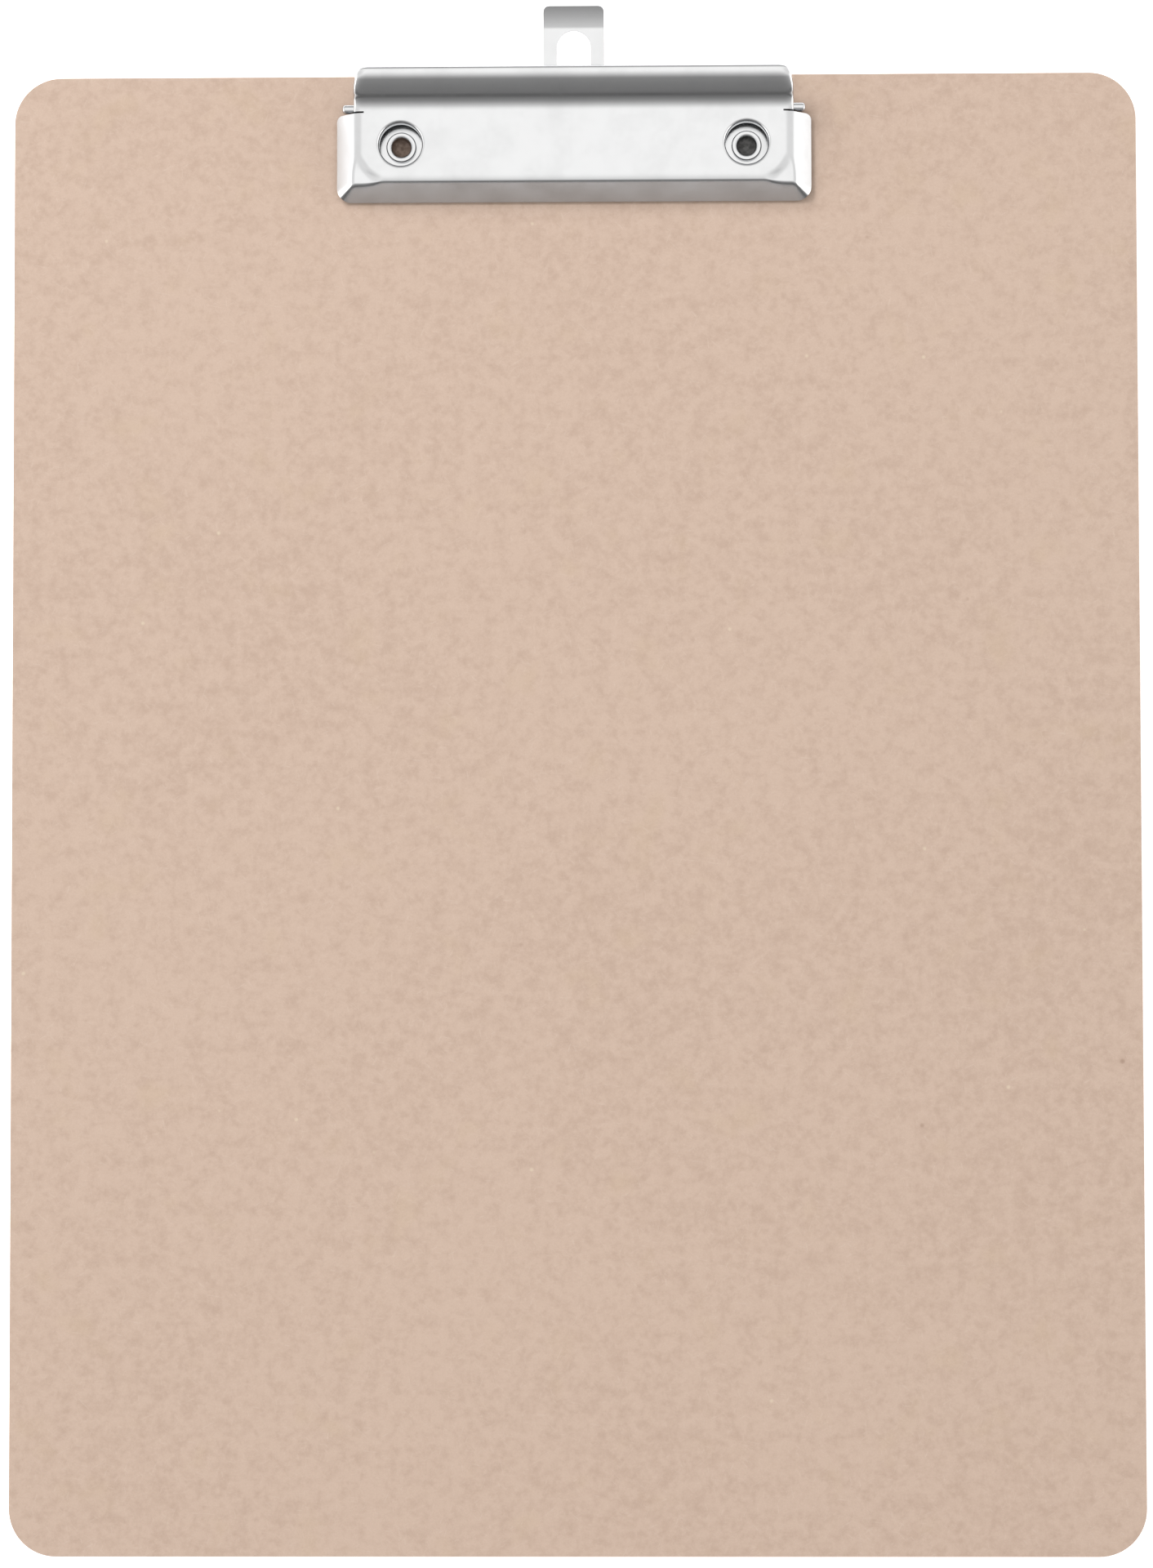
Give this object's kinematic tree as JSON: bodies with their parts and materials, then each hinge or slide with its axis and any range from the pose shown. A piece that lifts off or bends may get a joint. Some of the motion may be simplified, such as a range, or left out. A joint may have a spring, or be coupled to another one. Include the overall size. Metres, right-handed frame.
{
  "type": "clipboard",
  "caption": "A4 hardboard clipboard with a low sprung metal clip, a lever along the rear of its folded jaw plate, and a slotted hanging tab that slides out past the edge.",
  "frame": {"origin": "centre of the board's back face", "axes": "+X across the board to the right, +Y along the board to its clip end, +Z out of the writing face"},
  "size_m": [0.24, 0.3298, 0.0133],
  "materials": {
    "hardboard": "smooth uncoated fibreboard, fine pale fibres and a few dark specks",
    "nickel_plate": "bright nickel plate on pressed sheet steel",
    "spring_steel": "drawn spring wire"
  },
  "bodies": {
    "base": {"board": "hardboard", "base_plate": "nickel_plate", "pivot_rod": "nickel_plate", "spring_left": "spring_steel", "spring_right": "spring_steel", "rivet_left": "nickel_plate", "rivet_right": "nickel_plate"},
    "jaw": {"jaw_plate": "nickel_plate"},
    "tab": {"hanging_tab": "nickel_plate"}
  },
  "joints": [
    {"name": "jaw_hinge", "type": "hinge", "parent": "base", "child": "jaw", "pos_m": [0, 0.1499, 0.0056], "axis": [-1, 0, 0], "range_deg": [0, 28], "stiffness_Nm_per_rad": 0.15, "springref_deg": -51.57, "deforming": ["spring_left", "spring_right"]},
    {"name": "hanging_tab_slide", "type": "slide", "parent": "base", "child": "tab", "axis": [0, -1, 0], "range_m": [0, 0.01]}
  ]
}
